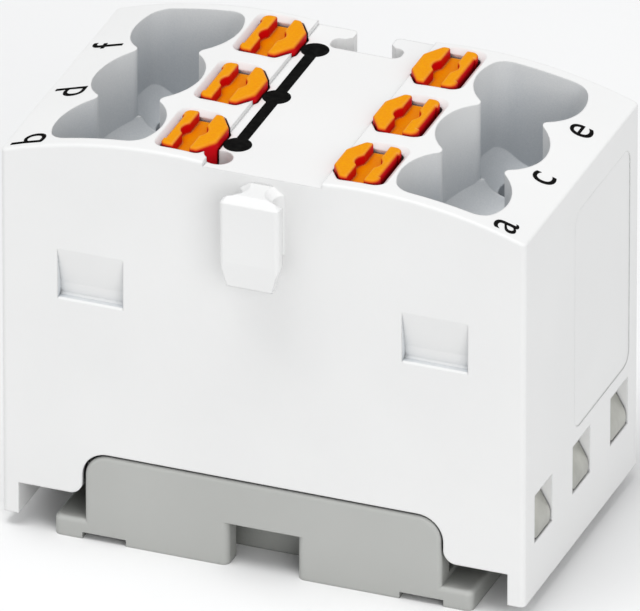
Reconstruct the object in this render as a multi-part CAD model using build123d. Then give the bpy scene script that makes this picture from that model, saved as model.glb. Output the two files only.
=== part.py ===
"""Six-way push-in power distribution block on a clip-on foot.

Millimetres, +Z up. X runs along the block, -Y is the front face with the coupling lug,
and the origin lies under the middle of the foot, in the plane that the foot stands on.
Heights named "above the legs" are measured from the lower ends of the housing's end walls.
"""
import math
import os
from build123d import *

# Terminals: two rows of three wire entries
pitch = 5.5
terminals_per_row = 3
row_inset = 4.92

# Housing outline
housing_width = 28.7
leg_lift = 0.8
end_wall = 0.92
face_wall = 0.8
crest_x = 5.5
crest_height = 22.6
crown_radius = 26.5
crown_corner_radius = 1.0
upright_radius = 0.3
rim_radius = 0.15
deck_width = 6.5
deck_drop = 0.35

# Lower edge of the front and back walls
skirt_height = 1.8
foot_gate_flare = 0.7
foot_gap = 0.12

# Scalloped wire pockets and their funnels
lobe_x_radius = 2.9
lobe_y_radius = 3.18
pocket_wall = 0.75
cusp_radius = 0.42
pocket_corner_radius = 1.1
pocket_depth = 4.5
funnel_radius = 3.1
funnel_depth = 1.85
funnel_bend_radius = 2.6
funnel_bend_drop = 1.05
wire_hole_radius = 1.65
wire_guide_length = 1.85

# Chambers inside the housing
partition = 1.6
chamber_inner_gap = 0.45
core_wall = 0.85
core_rib = 1.3
core_roof = 1.45
core_floor_clearance = 1.0

# Release levers
lever_pocket_wall = 0.7
lever_width = 2.63
lever_spacing = 1.6
lever_proud = 0.15
lever_nose_flat = 1.7
lever_nose_depth = 0.7
lever_tab_length = 0.65
lever_tab_depth = 0.1
lever_corner_radius = 0.4
lever_nose_radius = 0.25
lever_edge_radius = 0.15
drive_edge_radius = 0.1
lever_head_height = 3.0
lever_travel = 1.8
head_gap = 0.12
shank_inset = 0.15
shank_end_inset = 0.5
shank_gap = 0.1
shank_bridge = 2.75
shank_slit = 0.8
barb_reach = 0.3
barb_height = 1.2
barb_gap = 0.15
press_gap = 0.15
press_height_drop = 1.05
drive_slot_width = 0.9
drive_slot_depth = 0.6
drive_slot_offset = 0.24
drive_dimple_radius = 0.7
drive_dimple_blend = 0.2
slot_floor_gap = 0.15
slot_rim_width = 0.3

# Clamping springs
spring_thickness = 0.4
spring_side_gap = 0.25
spring_bend_radius = 1.2
spring_bend_drop = 3.4
spring_wall_gap = 0.1
spring_tip_gap = 0.3
spring_tip_drop = 5.2

# Busbar
strip = 0.8
busbar_height = 3.2
spine_side_gap = 0.55
arm_side_gap = 0.15
contact_gap = 0.12
contact_top_drop = 2.0
bend_radius = 0.4
barb_width = 2.3
barb_root_rise = 2.15
barb_bend_rise = 0.76
barb_bend_radius = 1.0
barb_corner_radius = 0.3
barb_recess = 0.05
barb_lance_run = 1.0

# Retention windows in the end walls
window_side_gap = 0.12
window_bottom_height = 3.04
window_height = 2.76

# Latch windows in the front and back walls
latch_width = 3.6
latch_bottom_height = 13.1
latch_height = 2.83
latch_depth = 0.5
latch_ramp_drop = 2.13
latch_edge = 0.1

# Shallow label field on each end wall
field_depth = 0.05
field_length = 8.0
field_back_margin = 1.3
field_bottom_height = 6.6
field_top_drop = 1.88
field_radius = 0.8

# Coupling lug on the front and its notch at the back
lug_front_width = 3.25
lug_waist_width = 1.8
lug_root_width = 2.5
lug_reach = 1.9
lug_waist_reach = 0.75
lug_shoulder_reach = 1.3
lug_top_drop = 0.4
lug_height = 5.2
lug_neck_rise = 1.35
lug_bevel = 0.42
lug_taper_run = 1.45
lug_taper = 0.1
lug_side_taper = 0.38
lug_edge_radius = 0.25
coupling_gap = 0.25
notch_mouth_gap = 0.15
notch_side_room = 0.08
notch_end_radius = 0.45
notch_mouth_radius = 0.3

# Test hole beside the front left lever
test_hole_radius = 0.75
test_hole_side = 0.37
test_hole_setback = 1.2
test_hole_depth = 5.0

# Foot
toe_end_gap = 1.93
foot_wall_height = 5.05
foot_wall = 0.75
foot_wall_base = 1.2
foot_wall_base_height = 3.5
foot_wall_radius = 1.3
foot_plate = 1.4
toe_reach = 1.7
toe_height = 1.1
toe_radius = 0.4
foot_edge_radius = 0.25
pad_width = 15.05
groove_width = 2.4
groove_height = 0.38
alcove_width = 3.8
alcove_height = 2.5
alcove_depth = 2.35
alcove_side_room = 1.3
alcove_edge_radius = 0.4
support_rib = 1.0
support_rib_x = 6.5
support_gap = 0.1
hook_length = 4.5
hook_thickness = 0.8
hook_bite = 0.55
hook_head = 0.9
hook_gap = 0.12
catch_height = 0.6
catch_thickness = 1.0

# Places worked out from the sizes above
housing_depth = terminals_per_row * pitch
half_width = housing_width / 2
half_depth = housing_depth / 2
row_x = half_width - row_inset
front = -half_depth
back = half_depth
terminal_ys = [(i - (terminals_per_row - 1) / 2) * pitch for i in range(terminals_per_row)]
chamber_half = (pitch - partition) / 2
chamber_outer_x = half_width - end_wall
crown_centre_height = crest_height - crown_radius
crown_end_height = crown_centre_height + math.sqrt(crown_radius**2 - (half_width - crest_x) ** 2)
deck_height = crest_height - deck_drop
step_height = crown_centre_height + math.sqrt(crown_radius**2 - (deck_width / 2 - crest_x) ** 2)
pocket_floor_height = crest_height - pocket_depth
funnel_bend_height = pocket_floor_height - funnel_bend_drop
wire_hole_top = pocket_floor_height - funnel_depth
ceiling_height = wire_hole_top - wire_guide_length
lever_outer_x = row_x - lobe_x_radius - lever_pocket_wall
lever_inner_x = lever_outer_x - lever_width
lever_length = pitch - lever_spacing
lever_top = crest_height + lever_proud
lever_head_low = lever_top - lever_head_height
slot_floor_height = lever_head_low - lever_travel - slot_floor_gap
shank_length = lever_length - 2 * shank_end_inset
chamber_inner_x = lever_inner_x - chamber_inner_gap
spring_width = 2 * chamber_half - 2 * spring_side_gap
contact_x = row_x + wire_hole_radius + contact_gap
contact_top = ceiling_height - contact_top_drop
busbar_top = busbar_height + strip
arm_width = 2 * chamber_half - 2 * arm_side_gap
window_width = barb_width + 2 * window_side_gap
window_top_height = window_bottom_height + window_height
lug_top_height = deck_height - lug_top_drop
lug_bottom_height = lug_top_height - lug_height
toe_outer_x = chamber_outer_x - toe_end_gap
foot_wall_half = toe_outer_x - toe_reach
foot_gate_half = foot_wall_half + foot_gap
all_above = crest_height + 2.0


def above_legs(height):
    """Height over the ground of a place given above the housing's legs."""
    return leg_lift + height


def slab(x_low, x_high, y_low, y_high, z_low, z_high):
    """A rectangular block between two corners."""
    size = (x_high - x_low, y_high - y_low, z_high - z_low)
    middle = ((x_high + x_low) / 2, (y_high + y_low) / 2, (z_high + z_low) / 2)
    return Pos(*middle) * Box(*size)


def along_y(face, y_low, y_high):
    """Push a face drawn on the XZ plane from y_low to y_high."""
    return Pos(0, y_high, 0) * extrude(face, amount=y_high - y_low, dir=(0, -1, 0))


def upright(face, z_low, z_high):
    """Push a face drawn on the XY plane from z_low to z_high."""
    return Pos(0, 0, z_low) * extrude(face, amount=z_high - z_low, dir=(0, 0, 1))


def outline(plane, points):
    """A face with straight sides through the given points of a plane."""
    return make_face(plane * Polyline(*points, close=True))


def both_ends(solid):
    """A feature of the right-hand side together with its mirror image on the left."""
    return solid + mirror(solid, about=Plane.YZ)


def housing_blank():
    """The block's outside: two shallow crowns with a sunken deck between them."""
    deck_half = deck_width / 2
    left_turn = (-half_width, above_legs(crown_end_height))
    right_turn = (half_width, above_legs(crown_end_height))
    crest = (crest_x, above_legs(crest_height))
    step = (deck_half, above_legs(step_height))
    with BuildSketch(Plane.XZ) as profile:
        with BuildLine():
            Line((-half_width, leg_lift), (half_width, leg_lift))
            Line((half_width, leg_lift), right_turn)
            TangentArc(crest, right_turn, tangent=(1, 0))
            TangentArc(crest, step, tangent=(-1, 0))
            Line(step, (deck_half, above_legs(deck_height)))
            Line((deck_half, above_legs(deck_height)), (-deck_half, above_legs(deck_height)))
            Line((-deck_half, above_legs(deck_height)), (-step[0], step[1]))
            TangentArc((-crest[0], crest[1]), (-step[0], step[1]), tangent=(1, 0))
            TangentArc((-crest[0], crest[1]), left_turn, tangent=(-1, 0))
            Line(left_turn, (-half_width, leg_lift))
        make_face()
        turns = [v for v in profile.vertices() if abs(v.Z - left_turn[1]) < rim_radius / 2]
        fillet(turns, crown_corner_radius)
    blank = along_y(profile.sketch, front, back)
    upright_edges = blank.edges().filter_by(Axis.Z)
    corners = [e for e in upright_edges if abs(abs(e.center().X) - half_width) < rim_radius]
    blank = fillet(corners, upright_radius)
    rims = [
        e
        for e in blank.edges()
        if abs(abs(e.center().Y) - half_depth) < rim_radius / 2 and e.center().Z > above_legs(deck_height - 1)
    ]
    crowns = [e for e in rims if e.length > deck_width / 2 and abs(e.center().X) > deck_width / 2]
    return fillet(crowns, rim_radius)


def pocket_outline():
    """Three rounded lobes in a row, cut flat near the front and back faces."""
    lobes = Sketch() + [Pos(row_x, y) * Ellipse(lobe_x_radius, lobe_y_radius) for y in terminal_ys]
    field = Pos(row_x, 0) * Rectangle(4 * lobe_x_radius, housing_depth - 2 * pocket_wall)
    scallop = lobes & field
    reach = half_depth - pocket_wall
    cusps = [v for v in scallop.vertices() if abs(abs(v.Y) - reach) > pocket_wall]
    scallop = fillet(cusps, cusp_radius)
    corners = [v for v in scallop.vertices() if abs(abs(v.Y) - reach) < pocket_wall / 2]
    return fillet(corners, pocket_corner_radius)


def funnel(y):
    """The bowl-shaped lead-in that guides a wire from the pocket into its round hole."""
    with BuildSketch(Plane.XZ) as half:
        with BuildLine():
            Line((0, wire_hole_top), (wire_hole_radius, wire_hole_top))
            ThreePointArc(
                (wire_hole_radius, wire_hole_top),
                (funnel_bend_radius, funnel_bend_height),
                (funnel_radius, pocket_floor_height),
            )
            Line((funnel_radius, pocket_floor_height), (0, pocket_floor_height))
            Line((0, pocket_floor_height), (0, wire_hole_top))
        make_face()
    return Pos(row_x, y, leg_lift) * revolve(half.sketch, axis=Axis.Z)


def pocket_cutter():
    """Everything that is open from the top of one pocket down to its wire holes."""
    scallop = pocket_outline()
    cutter = upright(scallop, above_legs(pocket_floor_height), above_legs(all_above))
    lead_in = upright(scallop, above_legs(wire_hole_top), above_legs(pocket_floor_height))
    cutter += lead_in & (Part() + [funnel(y) for y in terminal_ys])
    hole_low = above_legs(ceiling_height) - partition
    hole_high = above_legs(wire_hole_top) + partition / 4
    for y in terminal_ys:
        cutter += Pos(row_x, y, hole_low) * Cylinder(
            wire_hole_radius,
            hole_high - hole_low,
            align=(Align.CENTER, Align.CENTER, Align.MIN),
        )
    return cutter


def lever_plan(grow=0.0):
    """The lever head seen from above, its inboard side drawn in to a blunt nose."""
    half_length = lever_length / 2 + grow
    inner = lever_inner_x - grow
    outer = lever_outer_x + lever_tab_depth + grow
    nose_half = lever_nose_flat / 2 + grow / 2
    shoulder = lever_inner_x + lever_nose_depth - grow / 2
    points = [
        (outer, -half_length),
        (outer, half_length),
        (shoulder, half_length),
        (inner, nose_half),
        (inner, -nose_half),
        (shoulder, -half_length),
    ]
    plan = outline(Plane.XY, points)
    outer_corners = [v for v in plan.vertices() if v.X > lever_outer_x]
    plan = fillet(outer_corners, lever_corner_radius + grow)
    nose_corners = [v for v in plan.vertices() if v.X < lever_inner_x + lever_nose_depth + 0.01]
    return fillet(nose_corners, lever_nose_radius + grow)


def lever_slot(y):
    """The opening that one lever sits in, its guide below and the bevel along its rim."""
    plan = Pos(0, y) * lever_plan(head_gap)
    cutter = upright(plan, above_legs(slot_floor_height), above_legs(all_above))
    guide_half = shank_length / 2 + shank_gap
    cutter += slab(
        lever_inner_x + shank_inset - shank_gap,
        lever_outer_x - shank_inset + shank_gap,
        y - guide_half,
        y + guide_half,
        above_legs(ceiling_height) - partition,
        above_legs(slot_floor_height) + partition,
    )
    rim_outer = lever_outer_x + lever_tab_depth + head_gap
    rim_inner = lever_inner_x + lever_nose_depth
    rim_half = lever_length / 2 + head_gap
    low = above_legs(crest_height) - slot_rim_width
    bevel = []
    for grow in (0.0, 2 * slot_rim_width):
        sketch = RectangleRounded(
            rim_outer - rim_inner + grow,
            2 * rim_half + grow,
            lever_corner_radius + head_gap + grow / 2,
            align=(Align.MIN, Align.MIN),
        )
        bevel.append(Pos(rim_inner, y - rim_half, low + grow) * sketch)
    return cutter + loft(bevel)


def latch_window(y_face, inward):
    """A shallow recess in a wall, its floor ramped in from the top and then upright."""
    top = above_legs(latch_bottom_height + latch_height)
    bottom = above_legs(latch_bottom_height)
    outside = y_face - inward * latch_depth
    floor = y_face + inward * latch_depth
    points = [
        (outside, top + latch_ramp_drop),
        (floor, top - latch_ramp_drop),
        (floor, bottom + latch_edge),
        (floor - inward * latch_edge, bottom),
        (y_face + inward * latch_edge, bottom),
        (outside, bottom - latch_depth - latch_edge),
    ]
    section = outline(Plane.YZ, points)
    return Pos(row_x, 0, 0) * extrude(section, amount=latch_width / 2, both=True)


def end_window(y):
    """The opening in the end wall that a busbar barb snaps into."""
    return slab(
        chamber_outer_x - end_wall,
        half_width + end_wall,
        y - window_width / 2,
        y + window_width / 2,
        above_legs(window_bottom_height),
        above_legs(window_top_height),
    )


def end_field():
    """The shallow recessed field on an end wall."""
    cutter = slab(
        half_width - field_depth,
        half_width + end_wall,
        back - field_back_margin - field_length,
        back - field_back_margin,
        above_legs(field_bottom_height),
        above_legs(crown_end_height - field_top_drop),
    )
    return fillet(cutter.edges().filter_by(Axis.X), field_radius)


def lug_plan():
    """The coupling lug seen from above, waisted like an hourglass, its root at y = 0."""
    front_half = lug_front_width / 2
    waist_half = lug_waist_width / 2
    root_half = lug_root_width / 2
    with BuildSketch() as plan:
        with BuildLine() as side:
            Line((0, -lug_reach), (front_half, -lug_reach))
            Line((front_half, -lug_reach), (front_half, -lug_shoulder_reach))
            ThreePointArc(
                (front_half, -lug_shoulder_reach),
                (waist_half, -lug_waist_reach),
                (root_half, 0),
            )
            Line((root_half, 0), (root_half, lug_waist_reach))
            Line((root_half, lug_waist_reach), (0, lug_waist_reach))
            mirror(side.line, about=Plane.YZ)
        make_face()
        plate_corners = [v for v in plan.vertices() if v.Y < -lug_reach + lug_edge_radius]
        fillet(plate_corners, lug_edge_radius)
    return plan.sketch


def coupling_lug():
    """The lug on the front face that hooks into the block in front, its neck shorter than its plate."""
    low = above_legs(lug_bottom_height)
    turn = low + lug_taper_run
    top = above_legs(lug_top_height)
    body = upright(lug_plan(), low, top - lug_bevel)
    body += Pos(0, 0, top - lug_bevel) * extrude(lug_plan(), amount=lug_bevel, dir=(0, 0, 1), taper=45)
    half = lug_front_width / 2
    out = 2 * lug_reach
    under = outline(
        Plane.YZ,
        [
            (-out, low - lug_taper),
            (lug_taper - lug_reach, low - lug_taper),
            (lug_taper - lug_reach, low),
            (-lug_reach, turn),
            (-out, turn),
        ],
    )
    cheek = outline(
        Plane.XZ,
        [
            (out, low - lug_side_taper),
            (half - lug_side_taper, low - lug_side_taper),
            (half - lug_side_taper, low),
            (half, turn),
            (out, turn),
        ],
    )
    body -= extrude(under, amount=out, both=True)
    body -= both_ends(along_y(cheek, -out, -lug_waist_reach))
    body -= slab(-out, out, -lug_shoulder_reach, 0, low - lug_neck_rise, low + lug_neck_rise)
    return Pos(0, front, 0) * body


def notch_plan():
    """The coupling notch seen from above, its mouth at y = 0 and its channel towards -Y."""
    mouth = lug_waist_width / 2 + notch_mouth_gap
    lip = lug_shoulder_reach - coupling_gap
    wide = lug_front_width / 2 + coupling_gap + notch_side_room
    deep = lug_reach + coupling_gap
    with BuildSketch() as plan:
        with BuildLine() as side:
            Polyline(
                (0, lug_reach),
                (mouth, lug_reach),
                (mouth, -lug_waist_reach),
                (mouth + lip - lug_waist_reach, -lip),
                (wide, -lip),
                (wide, -deep),
                (0, -deep),
            )
            mirror(side.line, about=Plane.YZ)
        make_face()
        ends = [v for v in plan.vertices() if abs(abs(v.X) - wide) < notch_side_room]
        fillet(ends, notch_end_radius)
    return plan.sketch


def coupling_notch():
    """The notch at the back that takes the next block's lug from above."""
    low = above_legs(lug_bottom_height - coupling_gap)
    cutter = upright(notch_plan(), low, above_legs(all_above))
    mouth = lug_waist_width / 2 + notch_mouth_gap
    corner_x = mouth + notch_mouth_radius
    flare = Rectangle(2 * corner_x, 4 * notch_mouth_radius) - [
        Pos(side * corner_x, -notch_mouth_radius) * Circle(notch_mouth_radius) for side in (-1, 1)
    ]
    flare -= Pos(0, -2 * notch_mouth_radius) * Rectangle(4 * mouth, 2 * notch_mouth_radius)
    return Pos(0, back, 0) * (cutter + upright(flare, low, above_legs(all_above)))


def foot_gate():
    """The opening in the front and back walls that the foot's upright wall fills."""
    half = foot_gate_half
    top = foot_wall_height + foot_gap
    skirt = above_legs(skirt_height)
    gate = outline(Plane.XZ, [(-half, 0), (half, 0), (half, top), (-half, top)])
    top_corners = [v for v in gate.vertices() if v.Z > top - foot_gap]
    gate = fillet(top_corners, foot_wall_radius + foot_gap)
    wide = chamber_outer_x
    gate += outline(Plane.XZ, [(-wide, 0), (wide, 0), (wide, skirt), (-wide, skirt)])
    flares = [v for v in gate.vertices() if abs(v.Z - skirt) < foot_gap and abs(v.X) < half + foot_gap]
    return fillet(flares, foot_gate_flare)


def chamber_cutters():
    """The hollows that open from below: foot bay, terminal chambers and the cored middle."""
    inner_front = front + face_wall
    inner_back = back - face_wall
    cut = slab(-chamber_outer_x, chamber_outer_x, inner_front, inner_back, 0, above_legs(busbar_height))
    spine_clear = chamber_inner_x
    cut += slab(-spine_clear, spine_clear, inner_front, inner_back, 0, above_legs(busbar_top) + support_gap)
    for y in terminal_ys:
        chamber = slab(
            chamber_inner_x,
            chamber_outer_x,
            y - chamber_half,
            y + chamber_half,
            above_legs(busbar_height) - partition,
            above_legs(ceiling_height),
        )
        cut += both_ends(chamber)
    core_half = chamber_inner_x - core_wall
    cell = (pitch - core_rib) / 2
    notch_floor = lug_bottom_height - coupling_gap - core_floor_clearance
    for i, y in enumerate(terminal_ys):
        top = notch_floor if i == terminals_per_row - 1 else deck_height - core_roof
        y_low = max(y - cell, front + face_wall)
        y_high = min(y + cell, back - face_wall)
        cut += slab(-core_half, core_half, y_low, y_high, above_legs(busbar_height), above_legs(top))
    return cut


def catch_ledges():
    """Ledges on the inside of the end walls that the foot's hooks snap over."""
    ledge = slab(
        toe_outer_x + hook_gap,
        chamber_outer_x + end_wall / 2,
        -hook_length / 2 - hook_gap,
        hook_length / 2 + hook_gap,
        above_legs(catch_height),
        above_legs(catch_height + catch_thickness),
    )
    return both_ends(ledge)


def make_housing():
    """One moulding, open below, with pockets, lever slots, windows and coupling features."""
    body = housing_blank()
    body -= chamber_cutters()
    gate = foot_gate()
    body -= along_y(gate, front - face_wall, front + face_wall)
    body -= along_y(gate, back - face_wall, back + face_wall)
    body += catch_ledges()
    cuts = pocket_cutter() + end_field()
    for y in terminal_ys:
        cuts += lever_slot(y) + end_window(y)
    cuts += latch_window(front, 1) + latch_window(back, -1)
    body -= both_ends(cuts)
    body -= coupling_notch()
    test_hole = Cylinder(test_hole_radius, 2 * test_hole_depth)
    test_hole_place = (test_hole_side - lever_inner_x, front + test_hole_setback, above_legs(deck_height))
    body -= Pos(*test_hole_place) * test_hole
    return body + coupling_lug()


def make_lever():
    """A right-hand release lever at y = 0: head, shank and two snap legs."""
    top = above_legs(lever_top)
    head_low = above_legs(lever_head_low)
    head = upright(lever_plan(), head_low, top)
    tab_gap = lever_length / 2 - lever_tab_length
    head -= slab(lever_outer_x, lever_outer_x + 1, -tab_gap, tab_gap, head_low, top)
    head = fillet(head.faces().sort_by(Axis.Z)[-1].edges(), lever_edge_radius)
    drive_x = lever_inner_x + lever_width / 2 + drive_slot_offset
    drive_plan = Rectangle(drive_slot_width, 2 * lever_length) + Circle(drive_dimple_radius)
    waists = [v for v in drive_plan.vertices() if abs(v.Y) < lever_length / 2]
    drive_plan = Pos(drive_x, 0) * fillet(waists, drive_dimple_blend)
    head -= upright(drive_plan, top - drive_slot_depth, top + drive_slot_depth)
    rims = [
        e
        for e in head.edges()
        if abs(e.center().Z - top) < 0.001 and abs(e.center().X - drive_x) < drive_dimple_radius + 0.01
    ]
    head = fillet(rims, drive_edge_radius)

    inner = lever_inner_x + shank_inset
    outer = lever_outer_x - shank_inset
    half = shank_length / 2
    press_low = above_legs(spring_press_height(outer) + press_gap)
    press_high = press_low + press_height_drop
    joint = head_low + lever_edge_radius
    shank_face = outline(
        Plane.XZ,
        [(inner, press_high), (outer, press_low), (outer, joint), (inner, joint)],
    )
    shank = along_y(shank_face, -half, half)
    barb_top = above_legs(ceiling_height) - barb_gap
    for side in (-1, 1):
        barb = outline(
            Plane.YZ,
            [
                (side * (half - barb_reach), barb_top),
                (side * (half + barb_reach), barb_top),
                (side * (half + barb_reach), barb_top - barb_reach),
                (side * half, barb_top - barb_height),
                (side * (half - barb_reach), barb_top - barb_height),
            ],
        )
        shank += Pos(inner, 0, 0) * extrude(barb, amount=outer - inner, dir=(1, 0, 0))
    slit_top = head_low - shank_bridge
    shank -= slab(inner - 1, outer + 1, -shank_slit / 2, shank_slit / 2, 0, slit_top)
    return head + shank


def spring_points():
    """Centreline of a right-hand spring in the XZ plane: foot, bend, clamp leg and tip."""
    back_x = chamber_inner_x + spring_wall_gap + spring_thickness / 2
    foot = (back_x, above_legs(busbar_top))
    bend_start = (back_x, above_legs(ceiling_height - spring_bend_drop))
    centre = (back_x + spring_bend_radius, above_legs(ceiling_height - spring_bend_drop))
    tip = (contact_x - spring_tip_gap, above_legs(ceiling_height - spring_tip_drop))
    run = math.hypot(tip[0] - centre[0], tip[1] - centre[1])
    dip = math.atan2(tip[1] - centre[1], tip[0] - centre[0])
    leave = dip + math.acos(spring_bend_radius / run)
    bend_end = (
        centre[0] + spring_bend_radius * math.cos(leave),
        centre[1] + spring_bend_radius * math.sin(leave),
    )
    crown_angle = (math.pi + leave) / 2
    bend_top = (
        centre[0] + spring_bend_radius * math.cos(crown_angle),
        centre[1] + spring_bend_radius * math.sin(crown_angle),
    )
    return foot, bend_start, bend_top, bend_end, tip


def spring_press_height(x):
    """Height above the legs of the clamp leg's upper side at x."""
    bend_end, tip = spring_points()[3:]
    slope = (tip[1] - bend_end[1]) / (tip[0] - bend_end[0])
    middle = bend_end[1] + slope * (x - bend_end[0])
    return middle + spring_thickness / 2 * math.hypot(1, slope) - leg_lift


def make_spring():
    """A right-hand clamping spring at y = 0, bent from one strip."""
    foot, bend_start, bend_top, bend_end, tip = spring_points()
    with BuildLine(Plane.XZ) as path:
        Line(foot, bend_start)
        ThreePointArc(bend_start, bend_top, bend_end)
        Line(bend_end, tip)
    start = Plane(origin=(foot[0], 0, foot[1]), x_dir=(1, 0, 0), z_dir=(0, 0, 1))
    return sweep(start * Rectangle(spring_thickness, spring_width), path=path.line)


def busbar_arm(y):
    """One arm of the busbar: flat strip, bend, contact leg and the barb lanced out of it."""
    low = above_legs(busbar_height)
    outer = contact_x + strip
    arm = slab(0, outer, y - arm_width / 2, y + arm_width / 2, low, low + strip)
    arm += slab(contact_x, outer, y - arm_width / 2, y + arm_width / 2, low, above_legs(contact_top))
    across = arm.edges().filter_by(Axis.Y)
    heel = [e for e in across if e.center().X > outer - 0.01 and e.center().Z < low + 0.01]
    arm = fillet(heel, bend_radius + strip)
    inside = [
        e
        for e in arm.edges().filter_by(Axis.Y)
        if abs(e.center().X - contact_x) < 0.01 and abs(e.center().Z - low - strip) < 0.01
    ]
    arm = fillet(inside, bend_radius)
    lance_low = contact_x - barb_lance_run
    half = window_width / 2
    root = above_legs(window_top_height + barb_root_rise)
    bend = above_legs(window_bottom_height + barb_bend_rise)
    end = above_legs(window_bottom_height) + window_side_gap
    arm -= slab(lance_low, outer + 1, y - half, y + half, low - 1, root)
    face = half_width - barb_recess
    slant = math.hypot(face - outer, root - bend) / (root - bend) * strip
    barb = outline(
        Plane.XZ,
        [
            (contact_x, root),
            (outer, root),
            (face, bend),
            (face, end),
            (face - strip, end),
            (face - strip, bend - (slant - strip) / 2),
        ],
    )
    barb = along_y(barb, y - barb_width / 2, y + barb_width / 2)
    across = barb.edges().filter_by(Axis.Y)
    knee = [e for e in across if e.center().X > face - 0.01 and e.center().Z > end + 0.01]
    barb = fillet(knee, barb_bend_radius)
    corners = [e for e in barb.edges().filter_by(Axis.X) if e.center().Z < end + 0.01]
    return arm + fillet(corners, barb_corner_radius)


def make_busbar():
    """The common conductor under all six terminals, stamped and bent from one strip."""
    low = above_legs(busbar_height)
    reach = terminal_ys[-1] + arm_width / 2
    spine_half = chamber_inner_x - spine_side_gap
    bar = slab(-spine_half, spine_half, -reach, reach, low, low + strip)
    for y in terminal_ys:
        bar += both_ends(busbar_arm(y))
    return bar


def make_hook():
    """The right-hand snap hook that holds the foot to the housing."""
    outer = toe_outer_x
    bite_low = above_legs(catch_height + catch_thickness) + hook_gap
    section = outline(
        Plane.XZ,
        [
            (outer - hook_thickness, toe_height / 2),
            (outer, toe_height / 2),
            (outer, bite_low),
            (outer + hook_bite, bite_low),
            (outer, bite_low + hook_head),
            (outer - hook_thickness, bite_low + hook_head),
        ],
    )
    return along_y(section, -hook_length / 2, hook_length / 2)


def make_foot():
    """The clip-on foot: plate, toes, two upright walls, ribs under the busbar and hooks."""
    wall_half = foot_wall_half
    toes = slab(-toe_outer_x, toe_outer_x, front, back, 0, toe_height)
    toes = fillet(toes.edges().filter_by(Axis.Z), toe_radius)
    toes = fillet(toes.faces().sort_by(Axis.Z)[-1].edges(), foot_edge_radius)
    wall_face = outline(
        Plane.XZ,
        [(-wall_half, 0), (wall_half, 0), (wall_half, foot_wall_height), (-wall_half, foot_wall_height)],
    )
    top_corners = [v for v in wall_face.vertices() if v.Z > foot_wall_height / 2]
    wall_face = fillet(top_corners, foot_wall_radius)
    front_wall = along_y(wall_face, front, front + foot_wall)
    outer_edges = front_wall.faces().sort_by(Axis.Y)[0].edges()
    front_wall = fillet([e for e in outer_edges if e.center().Z > foot_edge_radius], foot_edge_radius)
    base_back = front + foot_wall_base
    base = slab(-wall_half, wall_half, front + foot_wall / 2, base_back, 0, foot_wall_base_height)
    front_wall += base
    plate = slab(-wall_half, wall_half, front + foot_wall / 2, back - foot_wall / 2, 0, foot_plate)
    body = toes + plate + front_wall + mirror(front_wall, about=Plane.XZ)
    rib_end = half_depth - alcove_depth - foot_wall
    rib_top = above_legs(busbar_height) - support_gap
    for x in (-support_rib_x, 0, support_rib_x):
        body += slab(x - support_rib / 2, x + support_rib / 2, -rib_end, rib_end, foot_plate / 2, rib_top)
    body += both_ends(make_hook())
    groove = slab(pad_width / 2, pad_width / 2 + groove_width, front - 1, back + 1, -1, groove_height)
    body -= both_ends(groove)
    alcove_half = alcove_width / 2
    mouth = slab(-alcove_half, alcove_half, front - 1, front + alcove_depth, -1, alcove_height)
    room_half = alcove_half + alcove_side_room
    room = slab(-room_half, room_half, front + foot_wall_base, front + alcove_depth, -1, alcove_height)
    body -= mouth + room + mirror(mouth + room, about=Plane.XZ)
    lips = [
        e
        for e in body.edges().filter_by(Axis.Z)
        if abs(abs(e.center().X) - alcove_half) < 0.01 and abs(abs(e.center().Y) - half_depth) < 0.01
    ]
    return fillet(lips, alcove_edge_radius)


def write(name, solid):
    """Write one sub-part as a STEP file."""
    export_step(solid, f"parts/{name}.step")


os.makedirs("parts", exist_ok=True)
write("housing", make_housing())
write("busbar", make_busbar())
write("foot", make_foot())
right_lever = make_lever()
right_spring = make_spring()
names = "abcdef"
for i, y in enumerate(terminal_ys):
    right_name = names[2 * i]
    left_name = names[2 * i + 1]
    write(f"lever_{right_name}", Pos(0, y, 0) * right_lever)
    write(f"lever_{left_name}", Pos(0, y, 0) * mirror(right_lever, about=Plane.YZ))
    write(f"spring_{right_name}", Pos(0, y, 0) * right_spring)
    write(f"spring_{left_name}", Pos(0, y, 0) * mirror(right_spring, about=Plane.YZ))
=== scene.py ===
# %% [markdown]
# # A push-in distribution block on its grey foot
#
# The block is a white moulding about 29 mm wide. Wires go into the scalloped pockets on top, and an
# orange lever beside each one lets its wire go. The solid pieces arrive finished from the packed
# frame, so this lesson gives them their plastics and metals, prints the markings on top and sets up
# a small photo table.

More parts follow.
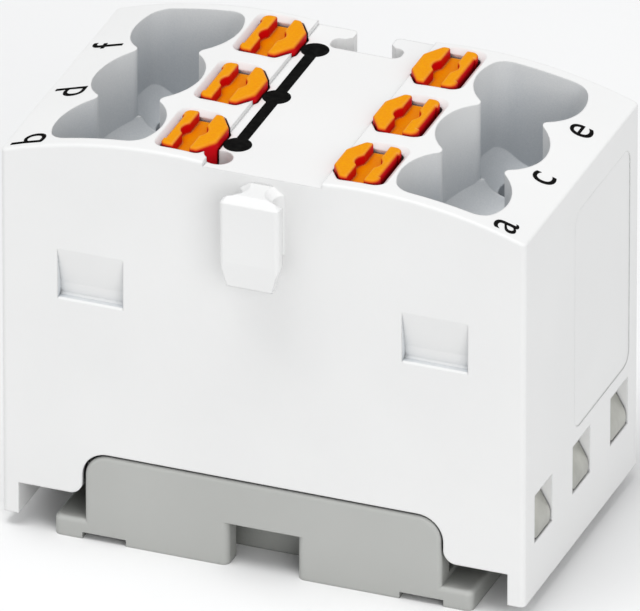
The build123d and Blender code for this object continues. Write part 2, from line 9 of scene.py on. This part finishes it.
# %% Load the block
import math
import bpy
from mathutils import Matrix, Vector


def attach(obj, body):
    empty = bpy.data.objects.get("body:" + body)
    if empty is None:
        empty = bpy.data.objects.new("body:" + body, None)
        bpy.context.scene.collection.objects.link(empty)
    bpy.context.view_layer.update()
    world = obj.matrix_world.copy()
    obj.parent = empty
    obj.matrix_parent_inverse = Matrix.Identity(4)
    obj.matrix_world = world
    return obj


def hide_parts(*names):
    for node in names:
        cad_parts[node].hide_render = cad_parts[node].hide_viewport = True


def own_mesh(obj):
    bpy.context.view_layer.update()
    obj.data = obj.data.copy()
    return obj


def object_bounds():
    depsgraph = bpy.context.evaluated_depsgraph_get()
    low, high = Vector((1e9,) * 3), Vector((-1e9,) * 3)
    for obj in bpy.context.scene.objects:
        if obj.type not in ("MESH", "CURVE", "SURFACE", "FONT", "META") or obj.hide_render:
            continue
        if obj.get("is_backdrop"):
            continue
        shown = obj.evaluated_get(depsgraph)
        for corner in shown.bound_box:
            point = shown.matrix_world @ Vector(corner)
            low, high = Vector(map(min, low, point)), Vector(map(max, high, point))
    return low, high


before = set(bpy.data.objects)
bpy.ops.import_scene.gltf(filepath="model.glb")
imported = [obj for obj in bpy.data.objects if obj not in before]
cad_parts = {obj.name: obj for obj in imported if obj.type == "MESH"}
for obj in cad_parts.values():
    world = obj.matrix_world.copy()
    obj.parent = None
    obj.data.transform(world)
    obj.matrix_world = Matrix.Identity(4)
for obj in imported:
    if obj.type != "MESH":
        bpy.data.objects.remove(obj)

MM = 0.001
cad_low, cad_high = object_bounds()
print("pieces in the block:", ", ".join(sorted(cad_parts)))
print("box of the block in mm:", [round(v / MM, 2) for v in (*cad_low, *cad_high)])

# %% [markdown]
# ## Heights that the print needs
#
# The print lies on two kinds of surface: the flat deck between the lever rows, and the shallow arcs
# of the two shoulders. The marks could be dropped onto the housing by a Shrinkwrap modifier. The
# surfaces are so simple that a few sizes in millimetres say where they are, so one function gives
# the height under any mark.

# %% Surface heights
LEG_LIFT = 0.8
DECK_TOP = 22.25 + LEG_LIFT
DECK_HALF = 3.25
CREST_X = 5.5
CREST_TOP = 22.6 + LEG_LIFT
CROWN_RADIUS = 26.5
LETTER_X = 12.86


def top_height(x):
    """Height in mm of the top of the block at x mm from its middle."""
    if abs(x) < DECK_HALF:
        return DECK_TOP
    return CREST_TOP - CROWN_RADIUS + math.sqrt(CROWN_RADIUS**2 - (abs(x) - CREST_X) ** 2)


print("shoulder drops by", round(CREST_TOP - top_height(LETTER_X), 2), "mm at the letters")

# %% [markdown]
# ## A small kit for materials
#
# Every finish here is a few textures mixed into one Principled shader. The nodes could be placed
# and wired by hand in the shader editor. Helpers that make a node, set its inputs and hand back its
# result keep each finish short enough to read, and they give the same material on every run.

# %% Helpers that make one node
MIX_FACTOR, MIX_FIRST, MIX_SECOND, MIX_COLOUR = 0, 6, 7, 2
WHITE = (1.0, 1.0, 1.0)


def new_finish(name):
    """An empty material with its Principled shader, ready for textures."""
    finish = bpy.data.materials.new(name)
    finish.use_nodes = True
    tree = finish.node_tree
    return finish, tree, tree.nodes["Principled BSDF"]


def plug(tree, socket, value):
    """Wires a socket to another one, or sets it to a plain value."""
    if isinstance(value, bpy.types.NodeSocket):
        tree.links.new(value, socket)
    else:
        socket.default_value = value


def named(tree, node, **inputs):
    """Sets or wires a node's inputs by their names, with underscores for the spaces."""
    for key, value in inputs.items():
        plug(tree, node.inputs[key.replace("_", " ")], value)


def combine(tree, operation, *values):
    """One step of arithmetic on numbers or sockets."""
    node = tree.nodes.new("ShaderNodeMath")
    node.operation = operation
    for socket, value in zip(node.inputs, values):
        plug(tree, socket, value)
    return node.outputs[0]


def between(tree, value, low, high, start, stop):
    """Maps a value that runs from start to stop onto low to high."""
    node = tree.nodes.new("ShaderNodeMapRange")
    named(tree, node, Value=value, From_Min=start, From_Max=stop, To_Min=low, To_Max=high)
    return node.outputs[0]


def mix_colours(tree, factor, first, second, method="MIX"):
    """Mixes two colours by a factor. With MULTIPLY the second one tints the first."""
    node = tree.nodes.new("ShaderNodeMix")
    node.data_type = "RGBA"
    node.blend_type = method
    plug(tree, node.inputs[MIX_FACTOR], factor)
    for place, colour in ((MIX_FIRST, first), (MIX_SECOND, second)):
        is_socket = isinstance(colour, bpy.types.NodeSocket)
        plug(tree, node.inputs[place], colour if is_socket else (*colour, 1))
    return node.outputs[MIX_COLOUR]


print("a colour mix reads sockets", (MIX_FACTOR, MIX_FIRST, MIX_SECOND))

# %% [markdown]
# Plastic and metal are never quite even. Image textures would need every piece to be unwrapped, so
# the variation comes from noise in object space, whose blotches keep their size in millimetres on
# every piece. Edges, which get paler from rubbing and from a painted highlight, are found by the
# Bevel node: where its rounded normal leaves the true one, there is an edge.

# %% Helpers for blotches, edges and relief
BEVEL_SAMPLES = 4
EDGE_REACH = 0.25


def clouds(tree, size_mm, detail=3.0, roughness=0.5, stretch=(1.0, 1.0, 1.0)):
    """Soft random values from 0 to 1, with blotches about size_mm across."""
    where = tree.nodes.new("ShaderNodeTexCoord")
    place = tree.nodes.new("ShaderNodeMapping")
    named(tree, place, Vector=where.outputs["Object"], Scale=stretch)
    noise = tree.nodes.new("ShaderNodeTexNoise")
    scale = 1.0 / (size_mm * MM)
    named(tree, noise, Vector=place.outputs[0], Scale=scale, Detail=detail, Roughness=roughness)
    return noise.outputs[0]


def find_edges(tree, width_mm):
    """1 on sharp edges and 0 on flats, and with it the normal that is rounded at the edges."""
    rounded = tree.nodes.new("ShaderNodeBevel")
    rounded.samples = BEVEL_SAMPLES
    named(tree, rounded, Radius=width_mm * MM)
    shape = tree.nodes.new("ShaderNodeNewGeometry")
    compare = tree.nodes.new("ShaderNodeVectorMath")
    compare.operation = "DOT_PRODUCT"
    tree.links.new(rounded.outputs[0], compare.inputs[0])
    tree.links.new(shape.outputs["Normal"], compare.inputs[1])
    edges = between(tree, compare.outputs["Value"], 1.0, 0.0, start=1.0 - EDGE_REACH, stop=1.0)
    return edges, rounded.outputs[0]


def bumps(tree, height, depth_mm, strength, normal=None):
    """Turns heights into a surface relief of a real depth."""
    node = tree.nodes.new("ShaderNodeBump")
    named(tree, node, Height=height, Distance=depth_mm * MM, Strength=strength)
    if normal is not None:
        tree.links.new(normal, node.inputs["Normal"])
    return node.outputs[0]


full_edge = math.degrees(math.acos(1.0 - EDGE_REACH))
print("an edge is full where the two normals are", round(full_edge), "degrees apart")

# %% [markdown]
# Slots and deep corners look darker and more strongly coloured than open faces. Light bouncing many
# times would do it in a slow render. The Ambient Occlusion node measures how closed in a place is,
# which is quick and is right from every side, so shade is painted into the hollows by it.

# %% Helper for hollows
SPECKLE = 0.3
HOLLOW_SAMPLES = 6


def hollow_shade(
    tree, colour, reach_mm, dark, start, stop, amount=1.0, speckle=None, own_only=False
):
    """Paints shade onto a colour where surfaces lie within reach_mm: full dark at start and none at
    stop.

    With own_only the floor and the other pieces don't count. The speckle roughens the painted
    shade.
    """
    hollow = tree.nodes.new("ShaderNodeAmbientOcclusion")
    hollow.samples = HOLLOW_SAMPLES
    hollow.only_local = own_only
    named(tree, hollow, Distance=reach_mm * MM)
    open_sky = hollow.outputs["AO"]
    if speckle is not None:
        open_sky = combine(tree, "MULTIPLY_ADD", speckle, SPECKLE, open_sky)
        start, stop = start + SPECKLE / 2, stop + SPECKLE / 2
    keep = mix_colours(tree, between(tree, open_sky, 0.0, 1.0, start, stop), dark, WHITE)
    return mix_colours(tree, amount, colour, keep, "MULTIPLY")


print("hollows are measured with", HOLLOW_SAMPLES, "rays")

# %% [markdown]
# ## Moulded plastic
#
# The housing and the foot come out of moulds whose steel was left finely matt by spark erosion, so
# the plastic has a very fine grain, and its edges look a little smoother where fingers and tools
# have rubbed them. The edges are also painted paler, partly for that rubbing and partly as a
# painted highlight. An image of that grain would need unwrapping. Noise in object space needs none
# and keeps its real size everywhere, so the grain, the faint cloudiness and the patches of pale
# edge all come from noise.
#
# The white wire pockets are deep, and the light in them turns a cool grey towards their floor. That
# painted shade is kept to the pockets by their place in the block. The foot only gets painted shade
# where it is closed in, in its corners and under the housing.

# %% Wire pockets
POCKET_MIDDLE = 9.4
POCKET_HALF = 3.2
POCKET_END = 8.2


def in_wire_pockets(tree):
    """1 inside the two rows of wire pockets and 0 outside, from the place in the block."""
    where = tree.nodes.new("ShaderNodeTexCoord")
    split = tree.nodes.new("ShaderNodeSeparateXYZ")
    tree.links.new(where.outputs["Object"], split.inputs[0])
    across = combine(tree, "ABSOLUTE", split.outputs["X"])
    along = combine(tree, "ABSOLUTE", split.outputs["Y"])
    in_row = combine(tree, "COMPARE", across, POCKET_MIDDLE * MM, POCKET_HALF * MM)
    return combine(tree, "MULTIPLY", in_row, combine(tree, "LESS_THAN", along, POCKET_END * MM))


pocket_sides = [round(POCKET_MIDDLE + side * POCKET_HALF, 2) for side in (-1, 1)]
print("the pockets' sides lie", pocket_sides, "mm from the middle of the block")

# %% Plastic finish
GRAIN_SIZE = 0.09
GRAIN_DEPTH = 0.006
# Width and strength of the paler edges, partly rubbing and partly a painted highlight.
PALE_EDGE_WIDTH = 0.12
PALE_EDGE_GAIN = 1.15
PALE_EDGE_LIFT = 0.12
PALEST = 0.9
HOLLOW_REACH = 6.0
# Painted shade in narrow gaps and crevices: its reach in mm and its colour.
CREVICE_REACH = 0.4
CREVICE_SHADE = (0.015, 0.015, 0.02)


def paler(colour):
    """The pale tone of a plastic's edges, partly rubbed and partly a painted highlight, never
    brighter than white plastic can be.
    """
    return tuple(min(PALEST, PALE_EDGE_GAIN * v + PALE_EDGE_LIFT) for v in colour)


def moulded_plastic(name, colour, shade, roughness, edge_wear_and_highlight, dark, start, stop, pockets_only=False):
    """Matt moulded plastic: cloudy tone, grain, edges rubbed and painted lighter, painted shade in
    hollows.
    """
    finish, tree, shader = new_finish(name)
    tone = between(tree, clouds(tree, size_mm=9.0, detail=2.0), 0.0, 1.0, start=0.35, stop=0.65)
    body = mix_colours(tree, tone, shade, colour)
    # The edges turn paler in patches, partly from rubbing and partly as a painted highlight.
    on_edge, rounded = find_edges(tree, PALE_EDGE_WIDTH)
    blotches = clouds(tree, size_mm=1.3, detail=4.0, roughness=0.6)
    edge_patches = between(tree, blotches, 0.4 * edge_wear_and_highlight, edge_wear_and_highlight, start=0.45, stop=0.7)
    wear_and_highlight = combine(tree, "MULTIPLY", on_edge, edge_patches)
    coat = mix_colours(tree, wear_and_highlight, body, paler(colour))
    grain = clouds(tree, GRAIN_SIZE, roughness=0.6)
    # Painted shade: hollows turn darker and cooler, in the housing only inside the wire pockets.
    if pockets_only:
        inside = in_wire_pockets(tree)
        shaded = hollow_shade(tree, coat, HOLLOW_REACH, dark, start, stop, inside, grain, True)
    else:
        shaded = hollow_shade(tree, coat, HOLLOW_REACH, dark, start, stop)
    # Painted shade: narrow gaps and crevices turn nearly black.
    crevices = hollow_shade(tree, shaded, CREVICE_REACH, CREVICE_SHADE, start=0.27, stop=0.5)
    gloss = between(tree, grain, roughness - 0.05, roughness + 0.06, start=0.3, stop=0.7)
    smooth = combine(tree, "SUBTRACT", gloss, wear_and_highlight)
    relief = bumps(tree, grain, GRAIN_DEPTH, strength=0.6, normal=rounded)
    named(tree, shader, Base_Color=crevices, Roughness=smooth, Normal=relief)
    named(tree, shader, Specular_IOR_Level=0.3)
    return finish


# The dark colour is the painted shade at the floor of the wire pockets.
white_plastic = moulded_plastic(
    "white_housing_plastic",
    colour=(0.79, 0.79, 0.785),
    shade=(0.77, 0.77, 0.766),
    roughness=0.42,
    edge_wear_and_highlight=0.35,
    dark=(0.66, 0.70, 0.745),
    start=0.15,
    stop=0.75,
    pockets_only=True,
)
# The foot's dark colour is painted shade in its corners and under the housing.
grey_plastic = moulded_plastic(
    "grey_foot_plastic",
    colour=(0.442, 0.447, 0.43),
    shade=(0.42, 0.425, 0.408),
    roughness=0.44,
    # The foot's edges are painted much paler, mostly as a highlight.
    edge_wear_and_highlight=0.95,
    dark=(0.34, 0.35, 0.33),
    start=0.05,
    stop=0.4,
)
print("plastics:", white_plastic.name, grey_plastic.name)

# %% [markdown]
# ## Orange lever plastic
#
# The levers are a slightly see-through orange plastic. Light goes a little way in and comes out
# redder, so the tops look orange and the sides, which only see the light inside their slots, look
# deep red. The rounded top edges catch the light. Full scattering would be slow on such small
# pieces. So that light and shade are painted by the surface's own direction, orange on flat tops
# and red on steep sides, with a painted highlight on the top edges and painted shade in the slots.

# %% Lever finish
# Reach in mm and colour of the painted shade in the lever's own slots.
RED_SHADE_REACH = 1.5
RED_SHADE = (0.9, 0.3, 0.3)


def lever_plastic(name, lit_top_colour, shaded_side_colour):
    """Orange plastic painted red on steep and hidden faces as shade, with a painted highlight on
    top edges.
    """
    finish, tree, shader = new_finish(name)
    on_edge, rounded = find_edges(tree, width_mm=0.16)
    split = tree.nodes.new("ShaderNodeSeparateXYZ")
    tree.links.new(rounded, split.inputs[0])
    # Painted light and shade: orange where the rounded surface faces up, deep red where it is
    # steep.
    flat = between(tree, split.outputs["Z"], 0.0, 1.0, start=0.1, stop=0.9)
    tone = between(tree, clouds(tree, size_mm=0.14), 0.86, 1.0, start=0.35, stop=0.65)
    body = mix_colours(tree, combine(tree, "MULTIPLY", flat, tone), shaded_side_colour, lit_top_colour)
    # Painted highlight: pale orange patches on the upward edges.
    blotches = clouds(tree, size_mm=0.5, detail=4.0, roughness=0.6)
    edge_patches = between(tree, blotches, 0.45, 1.0, start=0.4, stop=0.7)
    glint = combine(tree, "MULTIPLY", combine(tree, "MULTIPLY", on_edge, flat), edge_patches)
    coat = mix_colours(tree, glint, body, (1.0, 0.65, 0.27))
    # Painted shade: the lever's own slots turn darker and redder.
    red = hollow_shade(tree, coat, RED_SHADE_REACH, RED_SHADE, start=0.3, stop=0.8, own_only=True)
    # Painted shade: narrow gaps beside the lever turn nearly black.
    crevices = hollow_shade(tree, red, CREVICE_REACH, (0.08, 0.03, 0.03), start=0.2, stop=0.52)
    grain = clouds(tree, size_mm=0.07, roughness=0.6)
    gloss = between(tree, grain, 0.28, 0.4, start=0.3, stop=0.7)
    relief = bumps(tree, grain, depth_mm=0.008, strength=0.6, normal=rounded)
    named(tree, shader, Base_Color=crevices, Roughness=gloss, Normal=relief)
    named(tree, shader, Specular_IOR_Level=0.02)
    return finish


orange_plastic = lever_plastic(
    "orange_lever_plastic", lit_top_colour=(0.78, 0.31, 0.0), shaded_side_colour=(0.65, 0.006, 0.011)
)
print("lever plastic:", orange_plastic.name)

# %% [markdown]
# ## Tinned copper and spring steel
#
# The busbar is copper strip, dull grey from its tin. The springs are rolled stainless strip, so
# their grain runs along the strip. An anisotropic shine would need a direction drawn on every face.
# Noise that is stretched along the rolling direction shows the same streaks in the roughness and
# the relief, and it does for both metals.

# %% Metal finishes
def rolled_strip(name, colour, dull_colour, roughness, stretch):
    """Rolled metal with streaks along its length and slightly brighter edges."""
    finish, tree, shader = new_finish(name)
    streaks = clouds(tree, size_mm=0.25, detail=4.0, roughness=0.65, stretch=stretch)
    stains = between(tree, clouds(tree, size_mm=1.6), 0.0, 1.0, start=0.35, stop=0.7)
    on_edge, rounded = find_edges(tree, width_mm=0.08)
    tarnish = mix_colours(tree, stains, colour, dull_colour)
    bright = tuple(min(1.0, PALE_EDGE_GAIN * v) for v in colour)
    shine = mix_colours(tree, on_edge, tarnish, bright)
    # Painted shade: the metal turns nearly black in narrow gaps.
    crevices = hollow_shade(tree, shine, CREVICE_REACH, (0.06, 0.06, 0.06), start=0.2, stop=0.55)
    gloss = between(tree, streaks, roughness - 0.08, roughness + 0.1, start=0.3, stop=0.7)
    relief = bumps(tree, streaks, depth_mm=0.004, strength=0.5, normal=rounded)
    named(tree, shader, Base_Color=crevices, Metallic=1.0, Roughness=gloss, Normal=relief)
    return finish


tinned_copper = rolled_strip(
    "tinned_copper",
    colour=(0.50, 0.50, 0.465),
    dull_colour=(0.40, 0.40, 0.372),
    roughness=0.38,
    stretch=(0.15, 1.0, 0.15),
)
spring_steel = rolled_strip(
    "spring_steel",
    colour=(0.58, 0.57, 0.55),
    dull_colour=(0.50, 0.49, 0.47),
    roughness=0.3,
    stretch=(1.0, 4.0, 0.3),
)
print("metals:", tinned_copper.name, spring_steel.name)

# %% [markdown]
# ## Dress the pieces
#
# On the real block each piece is one material right through. New meshes could be laid over the
# pieces from the frame. Their shapes are already right, so each keeps its shape and its place, and
# only its material changes.

# %% Give every piece its finish
def finish_for(node):
    """The finish that a piece is made of, by its name."""
    if node == "housing":
        return white_plastic
    if node == "foot":
        return grey_plastic
    if node == "busbar":
        return tinned_copper
    if node.startswith("spring"):
        return spring_steel
    return orange_plastic


for node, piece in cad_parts.items():
    for place in piece.material_slots:
        place.material = finish_for(node)
    print(node, "->", finish_for(node).name)

# %% [markdown]
# ## Copies of the clamping springs
#
# Under each lever a bent strip pushes the wire against the busbar. When the lever goes down, the
# strip gives way. Bending it would need a rig of its own, and left rigid it would be cut by the
# lever. Here a copy of it with a mesh of its own stands in its place, and the piece from the frame
# is hidden. It looks the same as that piece.


def giving_spring(letter):
    """One clamping spring as a copy with its own mesh, on the block, in place of the piece from the
    frame.
    """
    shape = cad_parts["spring_" + letter].data.copy()
    strip = bpy.data.objects.new("clamping_spring_" + letter, shape)
    bpy.context.collection.objects.link(strip)
    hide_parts("spring_" + letter)
    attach(strip, "block")
    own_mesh(strip)
    return strip


for letter in "abcdef":
    strip = giving_spring(letter)
    print(strip.name, "is", round(strip.dimensions.z / MM, 2), "mm high at rest")

# %% [markdown]
# ## The printed bridge sign and letters
#
# Black ink is pad printed on the finished block: three dots joined by a line show that all the
# entries are one circuit, and a letter stands beside each entry. A decal image would do, but real
# ink has a thin edge, so the marks are made as films two hundredths of a millimetre thick that
# follow the surface under them.

# %% Ink finish
INK_FILM = 0.02


def printing_ink(name):
    """Matt black ink, a little uneven where the pad left less of it."""
    finish, tree, shader = new_finish(name)
    blotches = clouds(tree, size_mm=0.35, detail=4.0, roughness=0.6)
    thin = between(tree, blotches, 0.0, 1.0, start=0.4, stop=0.75)
    black = mix_colours(tree, thin, (0.006, 0.006, 0.006), (0.012, 0.012, 0.0115))
    grain = clouds(tree, size_mm=0.06, detail=2.0)
    gloss = between(tree, grain, 0.42, 0.6, start=0.3, stop=0.7)
    relief = bumps(tree, grain, depth_mm=0.003, strength=0.5)
    named(tree, shader, Base_Color=black, Roughness=gloss, Normal=relief, Specular_IOR_Level=0.0)
    return finish


ink = printing_ink("black_printing_ink")
print("ink film is", INK_FILM, "mm thick")

# %% [markdown]
# The bridge sign is three dots and the bars between them. Discs and bars laid over each other
# would flicker where they overlap, so one closed outline goes round all of them and is filled as
# one face.

# %% Bridge sign
SIGN_X = -2.41
DOT_YS = (-5.45, 0.05, 5.5)
DOT_RADIUS = 0.74
DOT_STEPS = 18
BAR_HALF = 0.315


def sign_side(side):
    """Points in mm up one side of the sign, round each dot and straight along each bar."""
    points = []
    lean = math.asin(BAR_HALF / DOT_RADIUS)
    for i, y in enumerate(DOT_YS):
        start = lean if i else 0.0
        stop = math.pi - lean if i < len(DOT_YS) - 1 else math.pi
        for k in range(DOT_STEPS + 1):
            turn = start + (stop - start) * k / DOT_STEPS
            across = side * DOT_RADIUS * math.sin(turn)
            points.append((SIGN_X + across, y - DOT_RADIUS * math.cos(turn)))
    return points


def ink_film(name, points):
    """A film of ink over a closed outline given in mm, laid on the top of the block."""
    count = len(points)
    low = [(x * MM, y * MM, (top_height(x) - INK_FILM / 2) * MM) for x, y in points]
    high = [(x * MM, y * MM, (top_height(x) + INK_FILM) * MM) for x, y in points]
    faces = [tuple(range(count, 2 * count)), tuple(reversed(range(count)))]
    faces += [(i, (i + 1) % count, count + (i + 1) % count, count + i) for i in range(count)]
    mesh = bpy.data.meshes.new(name)
    mesh.from_pydata(low + high, [], faces)
    mesh.materials.append(ink)
    film = bpy.data.objects.new(name, mesh)
    bpy.context.collection.objects.link(film)
    return film


right_side = sign_side(1)
left_side = sign_side(-1)[1:-1]
bridge_sign = ink_film("bridge_sign", right_side + left_side[::-1])
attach(bridge_sign, "block")
print("bridge sign has", len(bridge_sign.data.vertices), "points")

# %% [markdown]
# The letters read from the front to the back, one beside each entry. Drawing their curves point by
# point would be slow, and text already has clean outlines and a thickness of its own. So each
# starts as text, and its points are then moved onto the shoulder's arc.

# %% Letters beside the entries
LETTER_YS = (-7.35, -1.95, 3.5)
LETTER_SIZE = 2.55
LETTER_BODY_MIDDLE = 0.26 * LETTER_SIZE
LETTER_SMOOTHNESS = 6


def letter_mesh(letter):
    """The flat mesh of one letter in mm, with its thickness."""
    words = bpy.data.curves.new("letter_" + letter, "FONT")
    words.body = letter
    words.size = LETTER_SIZE
    words.resolution_u = LETTER_SMOOTHNESS
    words.extrude = INK_FILM
    sample = bpy.data.objects.new("letter_sample", words)
    bpy.context.collection.objects.link(sample)
    finished = sample.evaluated_get(bpy.context.evaluated_depsgraph_get())
    mesh = bpy.data.meshes.new_from_object(finished)
    bpy.data.objects.remove(sample)
    return mesh


def letter_film(letter, x, y):
    """One printed letter, centred at x, y in mm, its top towards -X."""
    mesh = letter_mesh(letter)
    across = [v.co.x for v in mesh.vertices]
    middle = (min(across) + max(across)) / 2
    for v in mesh.vertices:
        place_x = x - (v.co.y - LETTER_BODY_MIDDLE)
        place_y = y + (v.co.x - middle)
        height = top_height(place_x) + max(v.co.z, -INK_FILM / 2)
        v.co = Vector((place_x, place_y, height)) * MM
    mesh.materials.clear()
    mesh.materials.append(ink)
    film = bpy.data.objects.new("letter_" + letter, mesh)
    bpy.context.collection.objects.link(film)
    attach(film, "block")


for i, y in enumerate(LETTER_YS):
    for letter, side in (("ace"[i], 1), ("bdf"[i], -1)):
        letter_film(letter, side * LETTER_X, y)
        print("letter", letter, "at", side * LETTER_X, y)

# %% [markdown]
# ## Photo table
#
# A white sweep is the usual table for a small product, and it could be bent up behind the block.
# The sky behind this table is white for the camera, so hardly a horizon shows and a plain flat
# floor is enough.

# %% Floor
FLOOR_HALF = 2.0
FLOOR_CORNERS = ((-1, -1), (1, -1), (1, 1), (-1, 1))


def table_top():
    """A wide white floor under the block."""
    finish, tree, shader = new_finish("white_table")
    blotches = clouds(tree, size_mm=40.0, detail=2.0)
    paper = mix_colours(tree, blotches, (0.84, 0.84, 0.84), (0.86, 0.86, 0.86))
    named(tree, shader, Base_Color=paper, Roughness=0.9, Specular_IOR_Level=0.1)
    mesh = bpy.data.meshes.new("floor")
    corners = [(FLOOR_HALF * x, FLOOR_HALF * y, 0) for x, y in FLOOR_CORNERS]
    mesh.from_pydata(corners, [], [tuple(range(len(corners)))])
    mesh.materials.append(finish)
    floor = bpy.data.objects.new("floor", mesh)
    bpy.context.collection.objects.link(floor)
    floor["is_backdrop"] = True
    return floor


floor = table_top()
print("floor is", floor.dimensions.x, "m wide")

# %% [markdown]
# ## Surround
#
# In a white studio soft light comes from all round. A picture of a studio could light the block,
# but an even white sky does it with two numbers: a soft strength for the light on the block, and
# full white where the camera, a mirror or glass looks past it.

# %% Surround
SURROUND = 0.60
SURROUND_COLOUR = (0.98, 0.99, 1.0)
SEEN_WHITE = 1.0
world = bpy.data.worlds.new("white_surround")
bpy.context.scene.world = world
world.use_nodes = True
sky = world.node_tree
sky.nodes.clear()
rays = sky.nodes.new("ShaderNodeLightPath").outputs
mirrored = combine(sky, "MAXIMUM", rays["Is Camera Ray"], rays["Is Glossy Ray"])
seen = combine(sky, "MAXIMUM", mirrored, rays["Is Transmission Ray"])
soft = sky.nodes.new("ShaderNodeBackground")
named(sky, soft, Color=(*SURROUND_COLOUR, 1), Strength=SURROUND)
white = sky.nodes.new("ShaderNodeBackground")
named(sky, white, Color=(*WHITE, 1), Strength=SEEN_WHITE)
choose = sky.nodes.new("ShaderNodeMixShader")
for socket, source in zip(choose.inputs, (seen, soft.outputs[0], white.outputs[0])):
    sky.links.new(source, socket)
out = sky.nodes.new("ShaderNodeOutputWorld")
sky.links.new(choose.outputs[0], out.inputs["Surface"])
print("surround strength", SURROUND)

# %% [markdown]
# ## Light
#
# A product photograph has one soft panel over the block and a wider one from the front right. A sun
# or a spot would draw hard shadows. Panels that are large beside a small object leave none, so both
# are square area lights.

# %% Light panels
BLOCK_MIDDLE = (0, 0, 0.012)


def light_panel(name, place, size, power):
    """A square soft light that faces the block, its place and size in m and its power in W."""
    lamp = bpy.data.lights.new(name, "AREA")
    lamp.shape = "SQUARE"
    lamp.size = size
    lamp.energy = power
    panel = bpy.data.objects.new(name, lamp)
    panel.location = place
    panel.rotation_mode = "QUATERNION"
    panel.rotation_quaternion = (Vector(BLOCK_MIDDLE) - Vector(place)).to_track_quat("-Z", "Y")
    bpy.context.collection.objects.link(panel)


light_panel("top_panel", place=(-0.06, -0.12, 0.585), size=0.30, power=1.8)
light_panel("front_panel", place=(0.50, -0.56, 0.28), size=0.45, power=1.9)

# %% [markdown]
# ## Camera
#
# The photograph was taken from far away with a long lens, so the block's edges stay almost
# parallel. A camera without perspective would come close. A real lens is used, because it keeps the
# little perspective that is left, and its direction comes from the block's own edges in the
# photograph.

# %% Camera
CAMERA_TURN = math.radians(21.107)
CAMERA_RISE = math.radians(28.739)
LENS = 1550.0
SENSOR = 36.0
PIXELS_PER_MM = 19.4825
PICTURE_WIDTH = 640
AIM = Vector((-0.015, 0, 11.397))

turn_sin, turn_cos = math.sin(CAMERA_TURN), math.cos(CAMERA_TURN)
rise_sin, rise_cos = math.sin(CAMERA_RISE), math.cos(CAMERA_RISE)
backwards = Vector((turn_sin * rise_cos, -turn_cos * rise_cos, rise_sin))
distance = LENS / SENSOR * PICTURE_WIDTH / PIXELS_PER_MM

lens = bpy.data.cameras.new("camera")
lens.lens = LENS
lens.sensor_width = SENSOR
lens.clip_start = 0.1
lens.clip_end = 10.0
camera = bpy.data.objects.new("camera", lens)
camera.location = (AIM + backwards * distance) * MM
camera.rotation_mode = "QUATERNION"
camera.rotation_quaternion = (-backwards).to_track_quat("-Z", "Y")
bpy.context.collection.objects.link(camera)
bpy.context.scene.camera = camera
bpy.context.scene.view_settings.view_transform = "Standard"
print("camera is", round(distance), "mm away")

# %% [markdown]
# ## Check the box and finish
#
# The looks must not change the block's size.

# %% Write the sizes and finish
seen_low, seen_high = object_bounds()
growth = [a - b for a, b in zip((*seen_low, *seen_high), (*cad_low, *cad_high))]
print("growth in mm:", [round(v / MM, 3) for v in growth])
